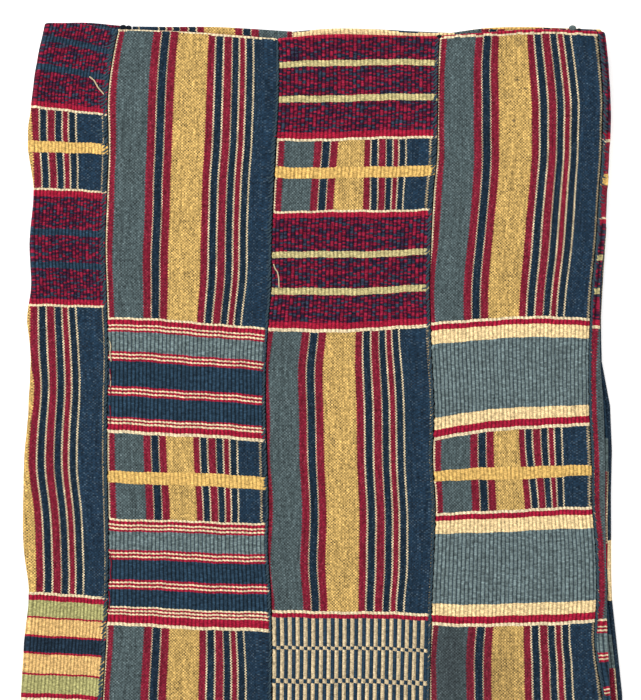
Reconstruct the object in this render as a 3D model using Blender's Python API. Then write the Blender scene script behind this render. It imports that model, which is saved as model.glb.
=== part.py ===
# A cotton cloth of thirteen narrow woven strips, sewn edge to edge and folded flat.
# It was folded once along its length, so that every panel has an outer and an inner ply
# joined at the top, and then across its width into four panels: the lowest, the one above
# it, the front and a last one that is tucked in behind the front.
# The cloth lies on z = 0 with the fold at the back (+Y) and the front panel facing up.
import math

import bpy

MM = 0.001

STRIP_COUNT = 13
STRIP_WIDTH = 100.0  # each woven strip, in mm
SEAM_GAP = 0.3  # between the selvages of two strips
SHEET = 1.2  # thickness of the woven cloth with its ribs
PLY_GAP = 0.6  # air between the outer and the inner ply
LAYER_GAP = 0.8  # air between two panels
LEAST_TURN = 0.6  # of strip 11 that stays on the front before the right fold

PLY_REACH = (PLY_GAP + SHEET) / 2  # from a panel's middle to the middle of a ply
OUTER = PLY_REACH + SHEET / 2
INNER = PLY_REACH - SHEET / 2
PITCH = 2 * OUTER + LAYER_GAP  # from one panel to the next

# Where the folds and the front panel's seams run, in mm from the middle line of the cloth.
# "down" is the distance below the top of the folded cloth. The back columns are the lower
# right fold and how far into strip 3 it lies, and the places of the two free edges.
OUTLINE_COLUMNS = (
    "down", "left", "seam_7_8", "seam_8_9", "seam_9_10", "seam_10_11", "right",
    "back_right", "back_fold", "back_edge", "tuck_edge",
)
OUTLINE = (
    (0, -174.2, -126.0, -28.0, 74.3, 172.0, 175.9, 175.5, 93.5, -122.0, -119.0),
    (20, -178.9, -130.2, -27.0, 73.0, 175.6, 178.1, 175.5, 93.5, -122.0, -119.0),
    (51, -182.9, -133.8, -27.2, 72.5, 176.0, 180.2, 174.0, 93.0, -123.0, -120.0),
    (66, -185.0, -133.4, -28.0, 72.3, 175.6, 180.4, 174.0, 93.0, -123.5, -120.5),
    (82, -184.5, -133.2, -28.8, 72.0, 175.2, 179.6, 174.0, 93.0, -124.0, -121.0),
    (104, -181.7, -134.0, -30.0, 70.0, 173.6, 178.4, 175.6, 93.0, -124.5, -121.5),
    (139, -184.0, -135.2, -31.4, 68.2, 171.5, 176.2, 179.0, 92.0, -125.0, -122.0),
    (169, -183.3, -134.4, -31.8, 67.4, 168.8, 173.2, 175.2, 92.0, -126.0, -122.0),
    (184, -185.6, -133.9, -33.2, 67.8, 168.0, 173.4, 175.2, 92.4, -125.0, -121.5),
    (203, -184.0, -133.4, -34.6, 68.3, 167.2, 173.6, 174.6, 93.0, -124.0, -121.0),
    (240, -185.0, -133.8, -35.2, 70.2, 167.3, 175.8, 180.8, 94.0, -121.0, -119.0),
    (276, -187.4, -134.0, -34.2, 69.4, 169.0, 177.0, 182.0, 94.5, -120.0, -118.0),
    (302, -188.3, -133.4, -33.4, 71.0, 169.2, 177.2, 181.3, 94.5, -120.0, -118.0),
    (329, -188.0, -133.0, -33.8, 70.2, 171.2, 177.4, 181.6, 94.5, -119.0, -117.0),
    (358, -184.6, -133.4, -32.0, 69.0, 171.8, 177.8, 181.8, 94.0, -118.0, -116.0),
    (389, -187.4, -134.8, -31.2, 68.0, 170.6, 178.6, 185.0, 94.0, -116.0, -114.0),
    (424, -189.4, -136.9, -31.5, 67.2, 175.6, 179.8, 188.6, 94.0, -114.0, -113.0),
    (510, -187.0, -136.0, -32.0, 68.0, 173.0, 179.5, 186.0, 94.0, -117.0, -115.0),
    (620, -188.0, -137.0, -33.0, 67.0, 171.5, 177.5, 182.0, 93.5, -120.0, -117.0),
    (760, -185.5, -135.0, -32.0, 68.5, 171.0, 177.0, 180.0, 93.5, -121.0, -118.0),
    (905, -187.0, -136.0, -33.5, 67.0, 172.0, 178.0, 182.0, 93.5, -122.0, -119.0),
)

# How far below the highest point each strip's top fold lies, from its first edge to its
# second in four even steps. The strips were not woven or folded quite even.
TOP_COLUMNS = ("first_edge", "quarter", "middle", "three_quarters", "second_edge")
TOPS = (
    (9.5, 9.5, 9.5, 9.5, 9.5),
    (9.5, 9.5, 9.5, 9.5, 9.5),
    (7.6, 4.2, 3.6, 4.4, 5.4),
    (8.8, 9.0, 9.3, 9.5, 9.5),
    (9.5, 9.5, 9.5, 9.3, 9.2),
    (9.2, 9.1, 8.8, 7.4, 4.8),
    (4.0, 1.2, 1.5, 2.4, 6.4),
    (6.0, 7.0, 8.4, 10.0, 12.2),
    (12.0, 9.9, 9.6, 10.0, 11.0),
    (10.4, 8.6, 6.6, 6.6, 7.4),
    (7.4, 10.2, 10.8, 10.4, 9.6),
    (8.0, 7.0, 5.6, 5.2, 7.2),
    (7.2, 5.5, 4.2, 4.2, 3.9),
)

# Soft rises where trapped air and uneven seams lift the panels, each with its middle, its
# radius across and along, and how much it lifts every panel above the lowest one.
PUFF_COLUMNS = ("across", "down", "radius_across", "radius_along", "lift")
PUFFS = (
    (-30.0, 60.0, 90.0, 70.0, 0.30),
    (-90.0, 250.0, 60.0, 110.0, 0.35),
    (75.0, 190.0, 60.0, 120.0, 0.40),
    (20.0, 360.0, 95.0, 80.0, 0.30),
    (150.0, 420.0, 60.0, 110.0, 0.45),
    (-60.0, 560.0, 100.0, 110.0, 0.35),
    (70.0, 720.0, 110.0, 120.0, 0.40),
)

# The panels step down to the floor on the left, past the free edges of the two panels
# that end there. Each step has its place and width.
LOWER_STEP = (-148.0, -125.0)
FRONT_STEP = (-156.0, -121.0)

HAIRPIN_STEPS = 6  # round the top fold
BEND_STEPS = 6  # round a fold between two panels

# Shares of a strip's width where it has columns, closer together near the steps
EVEN = (0, 0.25, 0.5, 0.75, 1)
STRIP_6 = (0, 0.35, 0.7, 0.82, 0.88, 0.94, 1)
STRIP_7_BELOW = (0, 0.12, 0.24, 0.36, 0.6, 1)
STRIP_7_FRONT = (0, 0.3, 0.42, 0.54, 0.66, 0.77, 0.88, 1)
STRIP_8 = (0, 0.06, 0.12, 0.25, 0.5, 0.75, 1)


def clear_scene():
    for thing in list(bpy.data.objects):
        bpy.data.objects.remove(thing)


def between(first, second, share):
    return first + (second - first) * share


def section_at(down):
    """The fold and seam places at a distance down, by name."""
    for upper, lower in zip(OUTLINE, OUTLINE[1:]):
        if down <= lower[0]:
            break
    share = (down - upper[0]) / (lower[0] - upper[0])
    values = [between(high, low, share) for high, low in zip(upper, lower)]
    return dict(zip(OUTLINE_COLUMNS, values))


def ease(value, step):
    share = min(1.0, max(0.0, (value - step[0]) / (step[1] - step[0])))
    return share * share * (3 - 2 * share)


def puff(across, down):
    total = 0.0
    for middle, middle_down, wide, long, lift in PUFFS:
        reach = ((across - middle) / wide) ** 2 + ((down - middle_down) / long) ** 2
        total += lift * math.exp(-reach)
    return total


def level_height(panel, across, down):
    """Height of a panel's middle above the surface that the cloth lies on."""
    level = {
        "lowest": 0.0,
        "lower": ease(across, LOWER_STEP),
        "tucked": 2.0,
        "front": 1.0 + 2.0 * ease(across, FRONT_STEP),
    }[panel]
    return OUTER + level * (PITCH + puff(across, down))


def flat_point(panel, across, down):
    """A point on a panel's middle and the direction of its outer ply there."""
    height = level_height(panel, across, down)
    slope = level_height(panel, across + 0.5, down) - level_height(panel, across - 0.5, down)
    size = math.hypot(slope, 1.0)
    up = 1.0 if panel in ("lowest", "front") else -1.0
    return (across, height), (-up * slope / size, up / size)


def bend_point(side, edge, low, high, share, outer_is_outside):
    """A point round a fold, from share 0 at its lower end to 1 at its upper end."""
    radius = (high - low) / 2
    angle = math.pi * (share - 0.5)
    middle = edge - side * (OUTER + radius)
    outward = (side * math.cos(angle), math.sin(angle))
    point = (middle + radius * outward[0], (low + high) / 2 + radius * outward[1])
    sign = 1.0 if outer_is_outside else -1.0
    return point, (sign * outward[0], sign * outward[1])


def bend_ends(panel_low, panel_high, side, edge, down):
    """The heights of the two panels at a fold, and where its bend begins."""
    inset = edge - side * (OUTER + PITCH / 2)
    low = level_height(panel_low, inset, down)
    high = level_height(panel_high, inset, down)
    return low, high, edge - side * (OUTER + (high - low) / 2)


def front_seams(section, bend_start):
    """The front panel's four seams, of which the last stays short of the right fold."""
    seams = [section["seam_7_8"], section["seam_8_9"], section["seam_9_10"]]
    return seams + [min(section["seam_10_11"], bend_start - SEAM_GAP - LEAST_TURN)]


def strip_path(strip, section, down):
    """The columns of a strip at a distance down: points and outer-ply directions.

    Each strip runs from its first to its second edge. A strip on one panel is nearly
    straight, and strips 3, 7 and 11 go round a fold.
    """
    half_gap = SEAM_GAP / 2
    left_low, left_high, left_start = bend_ends("lower", "front", -1, section["left"], down)
    right_low, right_high, right_start = bend_ends(
        "tucked", "front", 1, section["right"], down
    )
    back_low, back_high, back_start = bend_ends(
        "lowest", "lower", 1, section["back_right"], down
    )

    # strips 1 to 3 lie on the lowest panel, whose own width is set by its free edge
    lowest_scale = (back_start - section["back_edge"]) / (2 * STRIP_WIDTH + section["back_fold"])
    lowest_edges = [section["back_edge"] + lowest_scale * STRIP_WIDTH * n for n in range(3)]
    # strips 4 to 6 and part of 7 lie on the one above, from the back fold to the left one
    first_part = STRIP_WIDTH - section["back_fold"] - 2 * math.pi
    fold_in_7 = STRIP_WIDTH - (section["seam_7_8"] - left_start) - math.pi * 2
    lower_span = first_part + 3 * STRIP_WIDTH + fold_in_7
    lower_scale = (back_start - left_start) / lower_span
    lower_edges = [
        back_start - lower_scale * (first_part + STRIP_WIDTH * n) for n in range(4)
    ]
    # strips 11 to 13 lie on the tucked panel, from the right fold to the free edge
    tuck_part = 2.7 * STRIP_WIDTH + 20.0
    tuck_scale = (right_start - section["tuck_edge"]) / tuck_part
    tuck_edges = [section["tuck_edge"] + tuck_scale * STRIP_WIDTH * n for n in (2, 1, 0)]
    seams = front_seams(section, right_start)

    def flat(panel, start, end, shares=EVEN):
        return [flat_point(panel, between(start, end, share), down) for share in shares]

    def bend(side, edge, low, high, going_up, outer_is_outside):
        shares = [n / BEND_STEPS for n in range(1, BEND_STEPS)]
        if not going_up:
            shares = [1 - share for share in shares]
        return [
            bend_point(side, edge, low, high, share, outer_is_outside) for share in shares
        ]

    if strip in (1, 2):
        first, second = lowest_edges[strip - 1], lowest_edges[strip]
        return flat("lowest", first + half_gap, second - half_gap)
    if strip == 3:
        return (
            flat("lowest", lowest_edges[2] + half_gap, back_start)
            + bend(1, section["back_right"], back_low, back_high, True, False)
            + flat("lower", back_start, lower_edges[0] + half_gap, (0, 1))
        )
    if strip in (4, 5, 6):
        first, second = lower_edges[strip - 4], lower_edges[strip - 3]
        shares = STRIP_6 if strip == 6 else EVEN
        return flat("lower", first - half_gap, second + half_gap, shares)
    if strip == 7:
        return (
            flat("lower", lower_edges[3] - half_gap, left_start, STRIP_7_BELOW)
            + bend(-1, section["left"], left_low, left_high, True, True)
            + flat("front", left_start, seams[0] - half_gap, STRIP_7_FRONT)
        )
    if strip in (8, 9, 10):
        first, second = seams[strip - 8], seams[strip - 7]
        shares = STRIP_8 if strip == 8 else EVEN
        return flat("front", first + half_gap, second - half_gap, shares)
    if strip == 11:
        return (
            flat("front", seams[3] + half_gap, right_start, (0, 1))
            + bend(1, section["right"], right_low, right_high, False, True)
            + flat("tucked", right_start, tuck_edges[0] + half_gap)
        )
    first, second = tuck_edges[strip - 12], tuck_edges[strip - 11]
    return flat("tucked", first - half_gap, second + half_gap)


def top_drop(strip, share):
    drops = TOPS[strip - 1]
    step = min(3, int(4 * share))
    return between(drops[step], drops[step + 1], 4 * share - step)


def strip_rows():
    """Rows from the outer ply's end over the top fold to the inner ply's end.

    Each row has its distance down, or None on the top fold, and its angle round that fold.
    """
    downs = [row[0] for row in OUTLINE[1:]]
    outer = [(down, 0.0) for down in reversed(downs)]
    fold = [(None, math.pi * n / HAIRPIN_STEPS) for n in range(HAIRPIN_STEPS + 1)]
    inner = [(down, math.pi) for down in downs]
    return outer + fold + inner


def column_shares(strip):
    """How far across the strip each of its columns lies, measured along the cloth."""
    points = [point for point, outward in strip_path(strip, section_at(10), 10)]
    lengths = [math.dist(first, second) for first, second in zip(points, points[1:])]
    return [sum(lengths[:count]) / sum(lengths) for count in range(len(points))]


def strip_surface(strip, reach):
    """The grid of points at a reach from the panel's middle, one list for each row."""
    grid = []
    shares = column_shares(strip)
    for row_down, angle in strip_rows():
        row = []
        for column, share in enumerate(shares):
            down = row_down
            if row_down is None:
                down = top_drop(strip, share)
            point, outward = strip_path(strip, section_at(down), down)[column]
            lift = reach * math.cos(angle)
            row.append(
                (
                    point[0] + outward[0] * lift,
                    -down + reach * math.sin(angle),
                    point[1] + outward[1] * lift,
                )
            )
        grid.append(row)
    return grid


def add_solid(name, outside, inside):
    """One closed sheet from its outer and inner surface."""
    rows, columns = len(outside), len(outside[0])
    points = [point for row in outside for point in row]
    points += [point for row in inside for point in row]

    def out(row, column):
        return row * columns + column

    def back(row, column):
        return rows * columns + row * columns + column

    faces = []
    for row in range(rows - 1):
        for column in range(columns - 1):
            faces.append(
                (out(row, column), out(row, column + 1), out(row + 1, column + 1), out(row + 1, column))
            )
            faces.append(
                (back(row, column), back(row + 1, column), back(row + 1, column + 1), back(row, column + 1))
            )
        last = columns - 1
        faces.append((out(row, 0), out(row + 1, 0), back(row + 1, 0), back(row, 0)))
        faces.append((out(row, last), back(row, last), back(row + 1, last), out(row + 1, last)))
    for column in range(columns - 1):
        faces.append((out(0, column), back(0, column), back(0, column + 1), out(0, column + 1)))
        last = rows - 1
        faces.append(
            (out(last, column), out(last, column + 1), back(last, column + 1), back(last, column))
        )
    mesh = bpy.data.meshes.new(name)
    mesh.from_pydata([[value * MM for value in point] for point in points], [], faces)
    mesh.update()
    thing = bpy.data.objects.new(name, mesh)
    bpy.context.collection.objects.link(thing)
    return thing


def centre_on_base(things):
    """Moves the cloth so that the middle of its base is the origin."""
    points = [vertex.co for thing in things for vertex in thing.data.vertices]
    low = [min(point[axis] for point in points) for axis in range(3)]
    high = [max(point[axis] for point in points) for axis in range(3)]
    shift = ((low[0] + high[0]) / 2, (low[1] + high[1]) / 2, low[2])
    for thing in things:
        for vertex in thing.data.vertices:
            vertex.co.x -= shift[0]
            vertex.co.y -= shift[1]
            vertex.co.z -= shift[2]


clear_scene()
strips = []
for number in range(1, STRIP_COUNT + 1):
    outside = strip_surface(number, OUTER)
    inside = strip_surface(number, INNER)
    strips.append(add_solid(f"strip_{number:02d}", outside, inside))
centre_on_base(strips)
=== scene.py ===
import math

import bpy
import numpy as np
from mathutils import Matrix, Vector


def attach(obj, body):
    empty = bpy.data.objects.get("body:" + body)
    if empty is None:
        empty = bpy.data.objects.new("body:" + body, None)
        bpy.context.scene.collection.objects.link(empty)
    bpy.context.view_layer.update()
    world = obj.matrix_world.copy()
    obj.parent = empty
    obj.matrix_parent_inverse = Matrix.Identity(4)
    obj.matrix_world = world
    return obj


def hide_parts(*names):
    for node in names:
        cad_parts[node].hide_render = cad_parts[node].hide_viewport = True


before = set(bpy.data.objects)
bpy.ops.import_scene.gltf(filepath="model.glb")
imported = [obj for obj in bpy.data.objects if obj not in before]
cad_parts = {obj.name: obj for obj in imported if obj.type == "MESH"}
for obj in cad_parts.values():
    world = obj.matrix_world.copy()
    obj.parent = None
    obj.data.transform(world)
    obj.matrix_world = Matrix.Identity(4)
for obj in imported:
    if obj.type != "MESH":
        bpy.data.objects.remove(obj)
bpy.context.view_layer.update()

# The folded shape. The real cloth is thirteen handwoven strips sewn edge to edge. It is
# folded once along its length, so each panel has two plies joined at the top, and then
# into four panels: lowest, lower, front and one tucked in behind the front.
MM = 0.001
STRIP_WIDTH = 100.0  # mm, as are all lengths below
PLY_REACH = 0.9  # from a panel's middle to the middle of a ply
OUTER = 1.5  # from a panel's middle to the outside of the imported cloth
PITCH = 3.8  # from one panel to the next
SHEET = 0.9  # thickness of the woven sheet, without its ribs
LEAST_TURN = 0.75  # of strip 11 that stays on the front before the right fold
BASE_MIDDLE = (-0.4, -452.37)  # middle of the folded cloth in the table's own frame

# Where the folds and the front seams run, in mm from the middle line. "down" is the
# distance below the highest point of the folded cloth.
OUTLINE_COLUMNS = (
    "down", "left", "seam_7_8", "seam_8_9", "seam_9_10", "seam_10_11", "right",
    "back_right", "back_fold", "back_edge", "tuck_edge",
)
OUTLINE = np.array((
    (0, -174.2, -126.0, -28.0, 74.3, 172.0, 175.9, 175.5, 93.5, -122.0, -119.0),
    (20, -178.9, -130.2, -27.0, 73.0, 175.6, 178.1, 175.5, 93.5, -122.0, -119.0),
    (51, -182.9, -133.8, -27.2, 72.5, 176.0, 180.2, 174.0, 93.0, -123.0, -120.0),
    (66, -185.0, -133.4, -28.0, 72.3, 175.6, 180.4, 174.0, 93.0, -123.5, -120.5),
    (82, -184.5, -133.2, -28.8, 72.0, 175.2, 179.6, 174.0, 93.0, -124.0, -121.0),
    (104, -181.7, -134.0, -30.0, 70.0, 173.6, 178.4, 175.6, 93.0, -124.5, -121.5),
    (139, -184.0, -135.2, -31.4, 68.2, 171.5, 176.2, 179.0, 92.0, -125.0, -122.0),
    (169, -183.3, -134.4, -31.8, 67.4, 168.8, 173.2, 175.2, 92.0, -126.0, -122.0),
    (184, -185.6, -133.9, -33.2, 67.8, 168.0, 173.4, 175.2, 92.4, -125.0, -121.5),
    (203, -184.0, -133.4, -34.6, 68.3, 167.2, 173.6, 174.6, 93.0, -124.0, -121.0),
    (240, -185.0, -133.8, -35.2, 70.2, 167.3, 175.8, 180.8, 94.0, -121.0, -119.0),
    (276, -187.4, -134.0, -34.2, 69.4, 169.0, 177.0, 182.0, 94.5, -120.0, -118.0),
    (302, -188.3, -133.4, -33.4, 71.0, 169.2, 177.2, 181.3, 94.5, -120.0, -118.0),
    (329, -188.0, -133.0, -33.8, 70.2, 171.2, 177.4, 181.6, 94.5, -119.0, -117.0),
    (358, -184.6, -133.4, -32.0, 69.0, 171.8, 177.8, 181.8, 94.0, -118.0, -116.0),
    (389, -187.4, -134.8, -31.2, 68.0, 170.6, 178.6, 185.0, 94.0, -116.0, -114.0),
    (424, -189.4, -136.9, -31.5, 67.2, 175.6, 179.8, 188.6, 94.0, -114.0, -113.0),
    (510, -187.0, -136.0, -32.0, 68.0, 173.0, 179.5, 186.0, 94.0, -117.0, -115.0),
    (620, -188.0, -137.0, -33.0, 67.0, 171.5, 177.5, 182.0, 93.5, -120.0, -117.0),
    (760, -185.5, -135.0, -32.0, 68.5, 171.0, 177.0, 180.0, 93.5, -121.0, -118.0),
    (905, -187.0, -136.0, -33.5, 67.0, 172.0, 178.0, 182.0, 93.5, -122.0, -119.0),
))

# How far below the highest point each strip's top fold lies, from its first edge to its
# second in four even steps
TOPS = (
    (9.5, 9.5, 9.5, 9.5, 9.5),
    (9.5, 9.5, 9.5, 9.5, 9.5),
    (7.6, 4.2, 3.6, 4.4, 5.4),
    (8.8, 9.0, 9.3, 9.5, 9.5),
    (9.5, 9.5, 9.5, 9.3, 9.2),
    (9.2, 9.1, 8.8, 7.4, 4.8),
    (4.0, 1.2, 1.5, 2.4, 6.4),
    (6.0, 7.0, 8.4, 10.0, 12.2),
    (12.0, 9.9, 9.6, 10.0, 11.0),
    (10.4, 8.6, 6.6, 6.6, 7.4),
    (7.4, 10.2, 10.8, 10.4, 9.6),
    (8.0, 7.0, 5.6, 5.2, 7.2),
    (7.2, 5.5, 4.2, 4.2, 3.9),
)

# Soft rises that lift every panel above the lowest one
PUFFS = (
    ("across", "down", "radius_across", "radius_along", "lift"),
    (-30.0, 60.0, 90.0, 70.0, 0.30),
    (-90.0, 250.0, 60.0, 110.0, 0.35),
    (75.0, 190.0, 60.0, 120.0, 0.40),
    (20.0, 360.0, 95.0, 80.0, 0.30),
    (150.0, 420.0, 60.0, 110.0, 0.45),
    (-60.0, 560.0, 100.0, 110.0, 0.35),
    (70.0, 720.0, 110.0, 120.0, 0.40),
)

# The panels step down on the left, past the free edges of the two that end there
LOWER_STEP = (-148.0, -125.0)
FRONT_STEP = (-156.0, -121.0)


def curve(places, values, at):
    """A smooth curve through the values at given places."""
    slopes = np.gradient(values, places)
    row = np.clip(np.searchsorted(places, at) - 1, 0, len(places) - 2)
    gap = places[row + 1] - places[row]
    share = np.clip((at - places[row]) / gap, 0, 1)
    square, cube = share**2, share**3
    return (
        values[row] * (2 * cube - 3 * square + 1)
        + slopes[row] * gap * (cube - 2 * square + share)
        + values[row + 1] * (3 * square - 2 * cube)
        + slopes[row + 1] * gap * (cube - square)
    )


def along(name, down):
    """A column of OUTLINE at distances down."""
    return curve(OUTLINE[:, 0], OUTLINE[:, OUTLINE_COLUMNS.index(name)], down)


def top_drop(strip, share):
    return curve(np.linspace(0, 1, 5), np.array(TOPS[strip - 1]), share)


def across_line(ends, share):
    """A smooth line over a strip through its first edge, middle and second edge."""
    first, middle, second = ends
    return (
        first * (1 - share) * (1 - 2 * share)
        + middle * 4 * share * (1 - share)
        + second * share * (2 * share - 1)
    )


def ease(value, step):
    share = np.clip((value - step[0]) / (step[1] - step[0]), 0, 1)
    return share * share * (3 - 2 * share)


def level_height(panel, across, down):
    puff = np.zeros_like(across + down)
    for middle, middle_down, wide, long, lift in PUFFS[1:]:
        reach = ((across - middle) / wide) ** 2 + ((down - middle_down) / long) ** 2
        puff += lift * np.exp(-reach)
    if panel == "lowest":
        level = 0.0
    elif panel == "lower":
        level = ease(across, LOWER_STEP)
    elif panel == "tucked":
        level = 2.0
    else:
        level = 1.0 + 2.0 * ease(across, FRONT_STEP)
    return OUTER + level * (PITCH + puff)


def flat_stretch(panel, start, end, down):
    """A strip's stretch on one panel: its length and a function of the share along it."""
    up = 1.0 if panel in ("lowest", "front") else -1.0

    def point(share):
        across = start + (end - start) * share
        height = level_height(panel, across, down)
        slope = level_height(panel, across + 0.5, down) - level_height(panel, across - 0.5, down)
        size = np.hypot(slope, 1.0)
        return across, height, -up * slope / size, up / size

    return np.abs(end - start), point


def fold_values(low_panel, high_panel, side, edge, down):
    inset = edge - side * (OUTER + PITCH / 2)
    low = level_height(low_panel, inset, down)
    high = level_height(high_panel, inset, down)
    return low, high, edge - side * (OUTER + (high - low) / 2)


def bend_stretch(fold, side, going_up, outer_is_outside):
    low, high, start = fold
    radius = (high - low) / 2
    sign = 1.0 if outer_is_outside else -1.0

    def point(share):
        turn = share if going_up else 1 - share
        angle = math.pi * (turn - 0.5)
        out_across, out_up = side * np.cos(angle), np.sin(angle)
        return (
            start + radius * out_across,
            (low + high) / 2 + radius * out_up,
            sign * out_across,
            sign * out_up,
        )

    return math.pi * radius, point


def strip_stretches(strip, down):
    left = fold_values("lower", "front", -1, along("left", down), down)
    right = fold_values("tucked", "front", 1, along("right", down), down)
    back = fold_values("lowest", "lower", 1, along("back_right", down), down)
    back_edge, back_fold = along("back_edge", down), along("back_fold", down)
    seams = [along(f"seam_{n}_{n + 1}", down) for n in (7, 8, 9, 10)]
    seams[3] = np.minimum(seams[3], right[2] - LEAST_TURN)

    lowest_scale = (back[2] - back_edge) / (2 * STRIP_WIDTH + back_fold)
    first_part = STRIP_WIDTH - back_fold - 2 * math.pi
    fold_in_7 = STRIP_WIDTH - (seams[0] - left[2]) - 2 * math.pi
    lower_scale = (back[2] - left[2]) / (first_part + 3 * STRIP_WIDTH + fold_in_7)
    tuck_scale = (right[2] - along("tuck_edge", down)) / (2.7 * STRIP_WIDTH + 20.0)

    def lowest_at(count):
        return back_edge + lowest_scale * STRIP_WIDTH * count

    def lower_at(count):
        return back[2] - lower_scale * (first_part + STRIP_WIDTH * count)

    def tucked_at(count):
        return along("tuck_edge", down) + tuck_scale * STRIP_WIDTH * count

    if strip in (1, 2):
        return [flat_stretch("lowest", lowest_at(strip - 1), lowest_at(strip), down)]
    if strip == 3:
        return [
            flat_stretch("lowest", lowest_at(2), back[2], down),
            bend_stretch(back, 1, True, False),
            flat_stretch("lower", back[2], lower_at(0), down),
        ]
    if strip in (4, 5, 6):
        return [flat_stretch("lower", lower_at(strip - 4), lower_at(strip - 3), down)]
    if strip == 7:
        return [
            flat_stretch("lower", lower_at(3), left[2], down),
            bend_stretch(left, -1, True, True),
            flat_stretch("front", left[2], seams[0], down),
        ]
    if strip in (8, 9, 10):
        return [flat_stretch("front", seams[strip - 8], seams[strip - 7], down)]
    if strip == 11:
        return [
            flat_stretch("front", seams[3], right[2], down),
            bend_stretch(right, 1, False, True),
            flat_stretch("tucked", right[2], tucked_at(2), down),
        ]
    return [flat_stretch("tucked", tucked_at(14 - strip), tucked_at(13 - strip), down)]


def strip_middle(strip, share, down):
    """Points on the middle of a strip's panel and their outer-ply directions."""
    stretches = strip_stretches(strip, down)
    total = sum(length for length, point in stretches)
    walked = share * total
    values = None
    begin = 0.0
    for length, point in stretches:
        found = np.array(np.broadcast_arrays(*point(np.clip((walked - begin) / length, 0, 1))))
        values = found if values is None else np.where(walked > begin, found, values)
        begin = begin + length
    return values


def cloth_point(strip, share, weave, lift=0.0):
    """Where a place in the weave lies, in metres in the part's frame.

    share is the place across the strip and weave the distance along it, which is the
    distance down on the outer ply and goes on over the top fold to the inner ply.
    """
    drop = top_drop(strip, share)
    turned = (drop - weave) / PLY_REACH
    angle = np.clip(turned, 0, math.pi)
    beyond = np.maximum(turned - math.pi, 0) * PLY_REACH
    down = np.where(turned < 0, weave, drop + beyond)
    across, height, out_across, out_up = strip_middle(strip, share, down)
    reach = PLY_REACH + lift
    x = across + out_across * reach * np.cos(angle)
    y = -down + reach * np.sin(angle)
    z = height + out_up * reach * np.cos(angle)
    return np.stack([(x - BASE_MIDDLE[0]) * MM, (y - BASE_MIDDLE[1]) * MM, z * MM], axis=-1)


# The yarns and weaves. The cloth is handspun and mill-spun cotton. Stripes are warp yarns
# in a plain weave; the blocks are beaten-in weft, which covers the warp and makes ribs.
RIB = 2.45  # mm from one weft rib to the next
COLOURS = {
    "crimson_warp": "#841D32",
    "crimson": "#9C1A34",
    "burgundy_red": "#74142E",
    "burgundy_blue": "#231B30",
    "two_ply_blue": "#2F3849",
    "two_ply_dark": "#45142C",
    "two_ply_bright": "#8A1C37",
    "navy_warp": "#182A3A",
    "navy": "#24394A",
    "deep_navy": "#1F2F3E",
    "blue_warp": "#1F364A",
    "grey_blue_warp": "#536264",
    "grey_blue": "#677676",
    "grey_blue_groove": "#32424F",
    "gold_warp": "#D6B067",
    "yellow": "#DAB165",
    "cream": "#E3CFA8",
    "cream_yellow": "#EACD98",
    "honey": "#DBB272",
    "pale_green": "#BFB27C",
    "green": "#A7A36B",
    "bar_cream": "#CDB892",
    "dark_weft": "#2A2B30",
    "sewing": "#3C505C",
    # near-black, a painted shadow in the groove of each seam
    "seam_shadow_black": "#07090E",
    # dark thread of the knots, and painted shade in the gaps between a seam's stitches
    "knot_and_cord_shade_navy": "#121B25",
    "worn_cream": "#B09E7C",
    "pale_fleck": "#93A09E",
}

# The warp's stripes across one strip: where each ends, and how much the dark weft shows
STRIPE_COLUMNS = ("end", "yarn", "weft_shows")
FLECKED = {"blue_warp": 0.16, "grey_blue_warp": 0.20, "navy_warp": 0.14, "crimson_warp": 0.10}
STRIPES = (
    (0.0058, "cream", 0.3),
    (0.036, "crimson_warp", 0.3),
    (0.214, "grey_blue_warp", 0.7),
    (0.258, "crimson_warp", 0.3),
    (0.265, "cream", 0.3),
    (0.309, "navy_warp", 0.1),
    (0.316, "cream", 0.3),
    (0.362, "crimson_warp", 0.3),
    (0.553, "gold_warp", 0.85),
    (0.597, "crimson_warp", 0.3),
    (0.604, "cream", 0.3),
    (0.648, "navy_warp", 0.1),
    (0.655, "cream", 0.3),
    (0.700, "crimson_warp", 0.3),
    (0.707, "cream", 0.3),
    (0.745, "navy_warp", 0.1),
    (0.751, "cream", 0.3),
    (0.785, "crimson_warp", 0.3),
    (0.791, "cream", 0.3),
    (0.832, "navy_warp", 0.1),
    (0.839, "cream", 0.3),
    (0.9565, "blue_warp", 0.6),
    (0.9625, "worn_cream", 0.9),
    (1.0, "navy_warp", 0.1),
)


def linear(name):
    """A named sRGB colour as linear values for a shader."""
    code = COLOURS[name].lstrip("#")
    channels = [int(code[n:n + 2], 16) / 255 for n in (0, 2, 4)]
    made = [c / 12.92 if c <= 0.04045 else ((c + 0.055) / 1.055) ** 2.4 for c in channels]
    return (*made, 1.0)


MATH = "ShaderNodeMath"
VECTOR = "ShaderNodeVectorMath"
PLACE = "ShaderNodeCombineXYZ"
SPLIT = "ShaderNodeSeparateXYZ"
NOISE = "ShaderNodeTexNoise"
RANDOM = "ShaderNodeTexWhiteNoise"
RAMP = "ShaderNodeValToRGB"
MIX = "ShaderNodeMix"


def node(tree, kind, inputs, output=0, **settings):
    """Adds a node with its settings. Inputs, in order or by place, are links or values."""
    made = tree.nodes.new(kind)
    for name, value in settings.items():
        setattr(made, name, value)
    places = inputs if isinstance(inputs, dict) else dict(enumerate(inputs))
    for place, value in places.items():
        if isinstance(value, bpy.types.NodeSocket):
            tree.links.new(value, made.inputs[place])
        else:
            made.inputs[place].default_value = value
    return made.outputs[output]


def fill_ramp(output, starts, colours):
    """Sets the steps of the colour ramp that has this output."""
    steps = output.node.color_ramp
    steps.interpolation = "CONSTANT"
    while len(steps.elements) < len(starts):
        steps.elements.new(1.0)
    for step, start, colour in zip(steps.elements, starts, colours):
        step.position = start
        step.color = colour


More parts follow.
